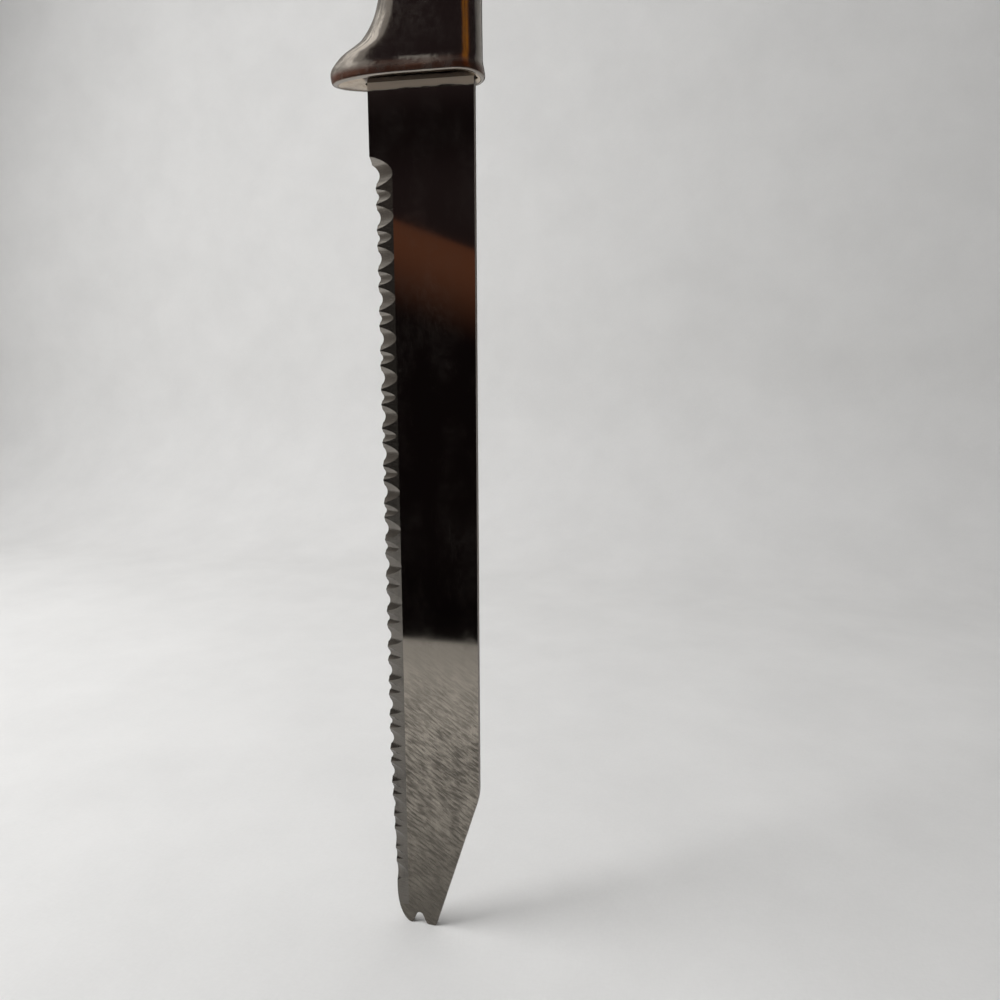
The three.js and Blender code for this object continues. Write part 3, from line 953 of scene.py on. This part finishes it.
def blade_material(context):
    """Mirror-polished steel, scratched and rougher towards the fork, where painted shade also darkens it
    at the fork and in a band below the worn top; a light dull band under the end plate is a painted
    reflection of the plate.
    """
    finish = context.scene.knife_finish
    material, tree, shader, place = new_material("blade_steel")
    height = tree.add("SeparateXYZ", Vector=place).outputs[2]
    worn_top = finish.worn_top / MM
    worn = tree.ramp(height, worn_top * 0.55, worn_top, 1.0, 0.0)
    strokes = use(tree, scratch_group(), Place=place, Angle=math.radians(-31), Along=0.34, Across=1.7)
    hairs = use(tree, scratch_group(), Place=place, Angle=math.radians(-42), Along=0.14, Across=5.0)
    wiped = use(tree, scratch_group(), Place=place, Angle=math.radians(84), Along=0.02, Across=5.0)
    marks = use(tree, smudge_group(), Place=place)
    blotches = tree.ramp(tree.noise(place, 0.13, 3.0, 0.6), 0.35, 0.65)
    lines = tree.ramp(strokes["Lines"], 0.36, 0.64)
    broad = tree.plus(tree.times(lines, 0.7), tree.times(blotches, 0.35))
    streaks = tree.times(worn, tree.plus(broad, tree.times(hairs["Marks"], 0.6)))
    # Mask of the painted reflection of the end plate, a light dull band just below it.
    film = dull_film(context, tree, place)
    roughness = tree.times(worn, finish.worn_polish - finish.blade_polish)
    roughness = tree.plus(finish.blade_polish, roughness)
    duller = ((streaks, 0.12), (marks["Smudges"], 0.035), (wiped["Marks"], 0.02), (film, 0.5))
    for mask, amount in duller:
        roughness = tree.plus(roughness, tree.times(mask, amount))
    tree.put(shader, "Roughness", roughness)
    # Painted shade: the steel darkens towards the fork, and again in a band just below the worn top.
    tip = tree.ramp(height, 0.0, worn_top * 0.55, 0.2, 1.0)
    tip = tree.times(tip, tree.ramp(height, worn_top * 0.72, worn_top * 0.95, 1.0, 0.5))
    wipes = tree.ramp(height, worn_top * 0.4, worn_top, 1.0, 0.0)
    wipes = tree.times(wipes, tree.ramp(wiped["Lines"], 0.35, 0.65))
    clean = tree.mix(streaks, rgba(finish.worn, 1.45), rgba(finish.worn, 0.4))
    clean = tree.mix(tree.times(wipes, 0.3), clean, rgba(finish.worn, 0.6))
    # The painted shade is mixed in here.
    clean = tree.mix(tip, rgba(finish.worn, 0.4), clean)
    clean = tree.mix(tree.ramp(height, worn_top, worn_top * 1.3), clean, rgba(finish.blade))
    stain = tree.times(tree.times(marks["Specks"], worn), 0.6)
    clean = tree.mix(stain, clean, rgba(finish.tarnish))
    # The painted reflection of the end plate is laid over the steel here.
    tree.put(shader, "Base Color", tree.mix(film, clean, rgba(finish.film)))
    bare = tree.minus(1.0, tree.times(marks["Smudges"], 0.02))
    tree.put(shader, "Metallic", tree.times(bare, tree.minus(1.0, film)))
    relief = tree.times(worn, tree.plus(hairs["Lines"], strokes["Lines"]))
    tree.relief(shader, relief, 0.12, 0.02)
    return material


def side_material(context):
    """Dull steel of the blanked sides, with lines along them."""
    finish = context.scene.knife_finish
    material, tree, shader, place = new_material("side_steel")
    lines = tree.noise(tree.scaled(place, (4.0, 4.0, 0.3)), 1.0, 3.0, 0.6)
    marks = use(tree, smudge_group(), Place=place)
    tone = tree.mix(tree.ramp(lines, 0.3, 0.7), rgba(finish.side, 0.8), rgba(finish.side, 1.25))
    smudges = tree.times(marks["Smudges"], 0.5)
    tree.put(shader, "Base Color", tree.mix(smudges, tone, rgba(finish.tarnish)))
    polish = finish.side_polish
    tree.put(shader, "Roughness", tree.ramp(lines, 0.2, 0.8, polish - 0.07, polish + 0.08))
    shader.inputs["Metallic"].default_value = 1
    tree.relief(shader, lines, 0.15, 0.02)
    return material


def ground_material(context):
    """Steel as it leaves the grinding wheel, with lines along each scallop."""
    finish = context.scene.knife_finish
    material, tree, shader, place = new_material("ground_steel")
    lines = tree.noise(tree.scaled(place, (0.35, 0.35, 9.0)), 1.0, 3.0, 0.6)
    marks = use(tree, smudge_group(), Place=place)
    height = tree.add("SeparateXYZ", Vector=place).outputs[2]
    # The scallops are darker towards the fork, more so under smudges.
    darker_below, bright_above = 90, 195
    dull = tree.ramp(height, darker_below, bright_above, 1.0, 0.0)
    darker_low = tree.times(dull, tree.plus(tree.times(marks["Smudges"], 0.4), 0.45))
    bright = tree.mix(tree.ramp(lines, 0.3, 0.7), rgba(finish.ground, 0.8), rgba(finish.ground, 1.15))
    tree.put(shader, "Base Color", tree.mix(darker_low, bright, rgba(finish.ground, 0.3)))
    polish = finish.ground_polish
    tree.put(shader, "Roughness", tree.ramp(lines, 0.2, 0.8, polish - 0.06, polish + 0.08))
    shader.inputs["Metallic"].default_value = 1
    tree.relief(shader, lines, 0.2, 0.02)
    return material


def handle_material(context):
    """Polished steel sheet with the marks of use, and a painted dark brown reflection in the flare just
    above the rim.
    """
    finish = context.scene.knife_finish
    material, tree, shader, place = new_material("handle_steel")
    hairs = use(tree, scratch_group(), Place=place, Angle=math.radians(70), Along=0.08, Across=6.0)
    cross = use(tree, scratch_group(), Place=place, Angle=math.radians(-25), Along=0.1, Across=5.0)
    marks = use(tree, smudge_group(), Place=place)
    rough = finish.handle_polish
    for mask, amount in ((marks["Smudges"], 0.09), (hairs["Marks"], 0.05), (cross["Marks"], 0.04)):
        rough = tree.plus(rough, tree.times(mask, amount))
    tree.put(shader, "Roughness", rough)
    smudges = tree.times(marks["Smudges"], 0.35)
    dull = tree.mix(smudges, rgba(finish.handle), rgba(finish.handle, 0.75))
    dull = tree.mix(tree.times(marks["Specks"], 0.35), dull, rgba(finish.tarnish))
    above = above_end_face(context, tree, place)
    # Painted reflection: a patchy dark brown band in the flare just above the rim.
    stain = tree.times(tree.ramp(above, 0.1, 0.5), tree.ramp(above, 1.2, 3.0, 1.0, 0.0))
    patches = tree.noise(tree.scaled(place, (1, 1, 0.6)), 0.35, 4.0, 0.6)
    stain = tree.times(stain, tree.ramp(patches, 0.25, 0.6, 0.55, 1.0))
    tree.put(shader, "Base Color", tree.mix(stain, dull, rgba(finish.stain)))
    bare = tree.minus(1.0, tree.times(marks["Smudges"], 0.06))
    bare = tree.minus(bare, tree.times(stain, 0.35))
    tree.put(shader, "Metallic", bare)
    waves = tree.noise(tree.scaled(place, (1, 1, 0.5)), 0.22, 1.0, 0.4)
    peel = tree.noise(place, 0.75, 2.0, 0.5)
    relief = tree.plus(waves, tree.times(hairs["Lines"], 0.03))
    relief = tree.plus(relief, tree.times(peel, 0.3))
    tree.relief(shader, relief, 0.6, 0.14)
    return material


def plate_material(context):
    """Satin steel with a level grain, and painted shade along the blade where the plate meets it."""
    finish = context.scene.knife_finish
    material, tree, shader, place = new_material("plate_steel")
    grain = tree.noise(tree.scaled(place, (0.25, 7.0, 7.0)), 1.0, 3.0, 0.6)
    marks = use(tree, smudge_group(), Place=place)
    clean = tree.mix(tree.ramp(grain, 0.3, 0.7), rgba(finish.plate, 0.86), rgba(finish.plate, 1.08))
    clean = tree.mix(tree.times(marks["Smudges"], 0.4), clean, rgba(finish.tarnish))
    x = tree.minus(tree.add("SeparateXYZ", Vector=place).outputs[0], CENTRE_X / MM)
    aside = tree.minus(tree.math("ABSOLUTE", x), context.scene.knife_blade.width / 2 / MM)
    # Painted shade: the end plate is darkened across the blade's width, where it meets the blade.
    painted_blade_shade = tree.ramp(aside, -0.8, 0.3, 1.0, 0.0)
    tree.put(shader, "Base Color", tree.mix(painted_blade_shade, clean, rgba(finish.tarnish, 0.4)))
    polish = finish.plate_polish
    tree.put(shader, "Roughness", tree.ramp(grain, 0.2, 0.8, polish - 0.06, polish + 0.08))
    shader.inputs["Metallic"].default_value = 1
    tree.relief(shader, grain, 0.15, 0.02)
    return material


def cement_material(context):
    """Dull dark compound with grit in it."""
    finish = context.scene.knife_finish
    material, tree, shader, place = new_material("cement")
    grit = tree.noise(place, 1.6, 5.0, 0.7)
    lumps = tree.ramp(grit, 0.35, 0.7)
    tone = tree.mix(lumps, rgba(finish.cement, 0.7), rgba(finish.cement, 1.6))
    tree.put(shader, "Base Color", tone)
    tree.put(shader, "Roughness", tree.ramp(grit, 0.2, 0.8, 0.75, 0.95))
    tree.relief(shader, grit, 0.5, 0.2)
    return material


# Stage


BACKDROP_FOOT = 0.36
BACKDROP_BEND = 0.16
BACKDROP = BACKDROP_FOOT + BACKDROP_BEND
BACKDROP_TOP = 1.6
FLOOR_REACH = 2.2
WALL_SIDE = 1.3
WALL_FRONT = -1.5
WALL_CORNER = 0.6
# Strength of the painted glow of the walls.
WALL_GLOW = 0.5


def cloth_material(stage, name):
    """Pale cloth with a faint weave."""
    material, tree, shader, place = new_material(name)
    warp = tree.noise(tree.scaled(place, (1.6, 0.5, 0.5)), 1.0, 1.0, 0.4)
    weft = tree.noise(tree.scaled(place, (0.5, 1.6, 1.6)), 1.0, 1.0, 0.4)
    weave = tree.plus(tree.times(warp, 0.5), tree.times(weft, 0.5))
    slubs = tree.noise(place, 0.02, 4.0, 0.6)
    tone = tree.ramp(tree.plus(tree.times(weave, 0.3), tree.times(slubs, 0.7)), 0.2, 0.8)
    tree.put(shader, "Base Color", tree.mix(tone, rgba(stage.cloth, 0.94), rgba(stage.cloth, 1.03)))
    shader.inputs["Roughness"].default_value = 0.9
    shader.inputs["Specular IOR Level"].default_value = 0.2
    tree.relief(shader, weave, 0.2, 0.15)
    return material, tree, shader, place


def wall_material(stage):
    """The cloth of the walls, with a painted glow that grows with height and with the distance from the
    backdrop.
    """
    material, tree, shader, place = cloth_material(stage, "pale_cloth_walls")
    x, y, z = tree.add("SeparateXYZ", Vector=place).outputs
    away = tree.minus(y, BACKDROP / MM)
    away = tree.math("SQRT", tree.plus(tree.times(x, x), tree.times(away, away)))
    # Painted light: the walls glow more higher up and further from the backdrop.
    painted_glow = tree.times(tree.ramp(z, -300.0, 500.0), tree.ramp(away, 700.0, 1350.0))
    tree.put(shader, "Emission Color", tree.mix(painted_glow, (0, 0, 0, 1), rgba(stage.cloth, WALL_GLOW)))
    shader.inputs["Emission Strength"].default_value = 1
    return material


def cloth_sweep(stage):
    """The floor, which bends up into the backdrop behind the knife."""
    bend = np.linspace(0, math.pi / 2, BEND_POINTS)
    line = [
        (-FLOOR_REACH, 0.0),
        *zip(BACKDROP_FOOT + BACKDROP_BEND * np.sin(bend), BACKDROP_BEND * (1 - np.cos(bend))),
        (BACKDROP, BACKDROP_TOP),
    ]
    points = [(x, y, z) for y, z in line for x in (-FLOOR_REACH, FLOOR_REACH)]
    mesh = mesh_of("cloth_sweep", points, grid_faces(len(line), 2))
    return finished("cloth_sweep", mesh, [cloth_material(stage, "pale_cloth")[0]], CLOTH_SHARP)


def cloth_walls(stage):
    """Walls of cloth that close the stage on the other sides, seen by the camera alone."""
    bend = np.linspace(0, math.pi / 2, WALL_BEND_POINTS)
    profile = [
        *zip(BACKDROP_BEND * (1 - np.sin(bend)), BACKDROP_BEND * (1 - np.cos(bend))),
        (0.0, BACKDROP_TOP),
    ]
    side, back, front = WALL_SIDE - WALL_CORNER, BACKDROP - WALL_CORNER, WALL_FRONT + WALL_CORNER
    corners = ((-side, back, 0.5), (-side, front, 1.0), (side, front, 1.5), (side, back, 2.0))
    points = []
    for inset, z in profile:
        radius = WALL_CORNER - inset
        for x, y, start in corners:
            for turn in math.pi * np.linspace(start, start + 0.5, WALL_CORNER_POINTS):
                points.append((x + radius * math.cos(turn), y + radius * math.sin(turn), z))
    faces = grid_faces(len(profile), len(corners) * WALL_CORNER_POINTS)
    mesh = mesh_of("cloth_walls", points, faces)
    walls = finished("cloth_walls", mesh, [wall_material(stage)], CLOTH_SHARP)
    walls.visible_glossy = False
    walls.visible_diffuse = False
    walls.visible_shadow = False
    return walls


def dark_panels_material(stage):
    """The dark surround before the knife, with a brown and an amber part and a bright patch."""

    def fill(tree, place, x, y, z):
        lean = tree.plus(z, tree.times(x, 0.392))
        brown = tree.times(tree.ramp(lean, 0.12, 0.205), tree.ramp(lean, 0.2186, 0.2216, 1.0, 0.0))
        tone = tree.mix(tree.ramp(z, 0.22, 0.3), rgba(stage.dark), rgba(stage.dark, 3.2))
        tone = tree.mix(tree.ramp(z, 0.34, 0.4), tone, rgba(stage.dark, 1.5))
        tone = tree.mix(brown, tone, rgba(stage.brown))
        tone = tree.mix(tree.ramp(z, 0.41, 0.46), tone, rgba(stage.dark, 5.0))
        tone = tree.mix(tree.ramp(z, 0.75, 1.0), tone, rgba(stage.brown, 1.3))
        across = tree.times(tree.ramp(x, -0.285, -0.26), tree.ramp(x, -0.246, -0.228, 1.0, 0.0))
        up = tree.times(tree.ramp(z, 0.6, 0.72), tree.ramp(z, 0.78, 0.95, 1.0, 0.0))
        tone = tree.mix(tree.times(across, up), tone, rgba(stage.window, 0.8))
        bearing = tree.math("ARCTAN2", x, tree.times(y, -1.0))
        amber = tree.times(tree.ramp(bearing, 0.52, 0.8), tree.ramp(bearing, 0.95, 1.28, 1.0, 0.0))
        mottle = tree.noise(tree.scaled(place, (7, 7, 26)), 1.0, 2.0, 0.5)
        amber = tree.times(amber, tree.ramp(mottle, 0.42, 0.6, 0.05, 1.3))
        amber = tree.times(amber, tree.ramp(z, 0.25, 0.35))
        return tree.mix(amber, tone, rgba(stage.amber))

    return glowing_material("dark_panels", fill)


def left_panel_material(stage):
    """The surround on the left: dark towards the front, light beside the knife, dim behind it."""

    def fill(tree, place, x, y, z):
        bearing = tree.math("ARCTAN2", tree.times(x, -1.0), tree.times(y, -1.0))
        tone = tree.mix(tree.ramp(bearing, 1.08, 1.24), rgba(stage.left, 0.14), rgba(stage.left))
        return tree.mix(tree.ramp(bearing, 2.0, 2.6), tone, rgba(stage.left, 0.4))

    return glowing_material("left_panel", fill)


def side_light_material(stage):
    """The bright panel on the left: mottled, and dimmer low down and behind the knife."""

    def fill(tree, place, x, y, z):
        mottle = tree.ramp(tree.noise(place, 9.0, 3.0, 0.6), 0.36, 0.62, 0.3, 1.25)
        behind = tree.ramp(y, -0.02, 0.09, 1.0, 0.4)
        level = tree.times(tree.times(mottle, behind), tree.ramp(z, 0.3, 0.5, 0.35, 1.0))
        return tree.mix(level, (0, 0, 0, 1), rgba(stage.window, 2.0))

    return glowing_material("side_light", fill)


def even_panel_material(name, tone):
    """A panel of one tone."""
    return glowing_material(name, lambda tree, *place: rgba(tone))


def only_mirrored(panel):
    """Lets nothing but reflections show a panel."""
    panel.visible_camera = False
    panel.visible_diffuse = False
    panel.visible_shadow = False
    return panel


def mirror_panel(name, plan, low, high, material):
    """An upright panel along a plan line that only the steel's reflections show."""
    points = [(x, y, z) for x, y in plan for z in (low, high)]
    mesh = mesh_of(name, points, grid_faces(len(plan), 2))
    return only_mirrored(finished(name, mesh, [material], PANEL_SHARP))


def ceiling_panel(stage):
    """A bright panel above the knife on the left, which only reflections show."""
    points = [(-0.75, -0.45, 0.75), (0.05, -0.45, 0.95), (0.05, 0.3, 0.95), (-0.75, 0.3, 0.75)]
    material = even_panel_material("bright_panel", [1.6 * v for v in stage.window])
    mesh = mesh_of("bright_panel", points, [(0, 1, 2, 3)])
    return only_mirrored(finished("bright_panel", mesh, [material], PANEL_SHARP))


def set_world(stage):
    """Even light from all round, with the pale surround for the camera and for reflections."""
    world = bpy.data.worlds.new("soft_surround")
    world.use_nodes = True
    world.node_tree.nodes.clear()
    tree = Tree(world.node_tree)
    path = tree.add("LightPath")
    tone = tree.mix(path.outputs["Is Glossy Ray"], rgba((1, 1, 1), stage.sky_light), rgba(stage.mirrored))
    tone = tree.mix(path.outputs["Is Camera Ray"], tone, rgba(stage.sky))
    surround = tree.add("Background", Color=tone, Strength=1.0)
    tree.put(tree.add("OutputWorld"), "Surface", surround.outputs[0])
    bpy.context.scene.world = world


def soft_lamp(name, watts, width, spread, place, target):
    lamp = bpy.data.lights.new(name, "AREA")
    lamp.energy = watts
    lamp.size = width
    lamp.spread = math.radians(spread)
    holder = bpy.data.objects.new(name, lamp)
    holder.location = place
    holder.rotation_mode = "QUATERNION"
    holder.rotation_quaternion = (Vector(target) - Vector(place)).to_track_quat("-Z", "Y")
    holder.visible_glossy = False
    holder.visible_camera = False
    bpy.context.scene.collection.objects.link(holder)


def set_camera(stage):
    """The camera where the photograph was taken."""
    yaw, pitch, roll = stage.camera_yaw, stage.camera_pitch, stage.camera_roll
    ahead = Vector((-math.sin(yaw) * math.cos(pitch), math.cos(yaw) * math.cos(pitch), -math.sin(pitch)))
    level = Vector((math.cos(yaw), math.sin(yaw), 0))
    above = level.cross(ahead)
    right = level * math.cos(roll) + above * math.sin(roll)
    up = above * math.cos(roll) - level * math.sin(roll)
    data = bpy.data.cameras.new("photograph_view")
    data.sensor_width = 36
    data.lens = stage.lens
    data.clip_start, data.clip_end = 0.005, 20
    camera = bpy.data.objects.new("photograph_view", data)
    turn = Matrix((right, up, -ahead)).transposed().to_4x4()
    camera.matrix_world = Matrix.Translation(stage.camera_place) @ turn
    bpy.context.scene.collection.objects.link(camera)
    bpy.context.scene.camera = camera


class KNIFE_OT_stage(bpy.types.Operator):
    """Set the floor, the backdrop, the walls, the panels, the light and the camera"""

    bl_idname = "knife.stage"
    bl_label = "Stage"

    def execute(self, context):
        stage = context.scene.knife_stage
        near, far = -stage.flag_distance, -stage.panel_distance
        left = [(-0.2, near), (-0.28, -0.13), (-0.42, 0.02), (-0.4, 0.2)]
        back = [(-0.4, 0.2), (-0.25, 0.3), (0.1, 0.34)]
        low = [(-0.2, near), (0.2, near)]
        front = [(-0.55, far), (0.45, far), (0.6, -0.2), (0.6, 0.16)]
        near_tone = even_panel_material("near_panel", stage.dark)
        panels = [
            mirror_panel("near_panel", low, 0.0, 0.14, near_tone),
            mirror_panel("dark_panels", front, 0.03, 1.5, dark_panels_material(stage)),
            mirror_panel("left_panel", left, 0.05, 0.3, left_panel_material(stage)),
            mirror_panel("back_panel", back, 0.15, 0.6, left_panel_material(stage)),
            mirror_panel("side_light", left[1:], 0.3, 0.95, side_light_material(stage)),
            ceiling_panel(stage),
        ]
        cloth_sweep(stage)
        cloth_walls(stage)
        aim = (0, 0, 0.12)
        key_place, key_width, key_spread = (-0.7, -0.22, 0.62), 0.55, 145
        top_place, top_width, top_spread = (0.1, 0.1, 1.2), 0.9, 180
        soft_lamp("key_lamp", stage.key_light, key_width, key_spread, key_place, aim)
        soft_lamp("top_lamp", stage.top_light, top_width, top_spread, top_place, aim)
        set_world(stage)
        set_camera(stage)
        context.scene.view_settings.view_transform = "Standard"
        return {"FINISHED"}


class KNIFE_PT_pieces(bpy.types.Panel):
    """Lists the steps that make the knife"""

    bl_label = "Frozen Food Knife"
    bl_idname = "KNIFE_PT_pieces"
    bl_space_type = "VIEW_3D"
    bl_region_type = "UI"
    bl_category = "Knife"

    def draw(self, context):
        for step in STEPS:
            self.layout.operator(step.bl_idname, text=step.bl_label)


STEPS = (KNIFE_OT_blade, KNIFE_OT_handle_shells, KNIFE_OT_end_plate, KNIFE_OT_cement, KNIFE_OT_stage)
GROUPS = {
    "knife_blade": KnifeBladeSizes,
    "knife_handle": KnifeHandleSizes,
    "knife_finish": KnifeFinish,
    "knife_stage": KnifeStage,
}


def register():
    for group in GROUPS.values():
        bpy.utils.register_class(group)
    for step in (*STEPS, KNIFE_PT_pieces):
        bpy.utils.register_class(step)
    for name, group in GROUPS.items():
        setattr(bpy.types.Scene, name, PointerProperty(type=group))


def unregister():
    for name in GROUPS:
        delattr(bpy.types.Scene, name)
    for step in (KNIFE_PT_pieces, *reversed(STEPS)):
        bpy.utils.unregister_class(step)
    for group in reversed(GROUPS.values()):
        bpy.utils.unregister_class(group)


def main():
    register()
    bpy.ops.knife.blade()
    bpy.ops.knife.handle_shells()
    bpy.ops.knife.end_plate()
    bpy.ops.knife.cement()
    bpy.ops.knife.stage()


if __name__ == "__main__":
    main()
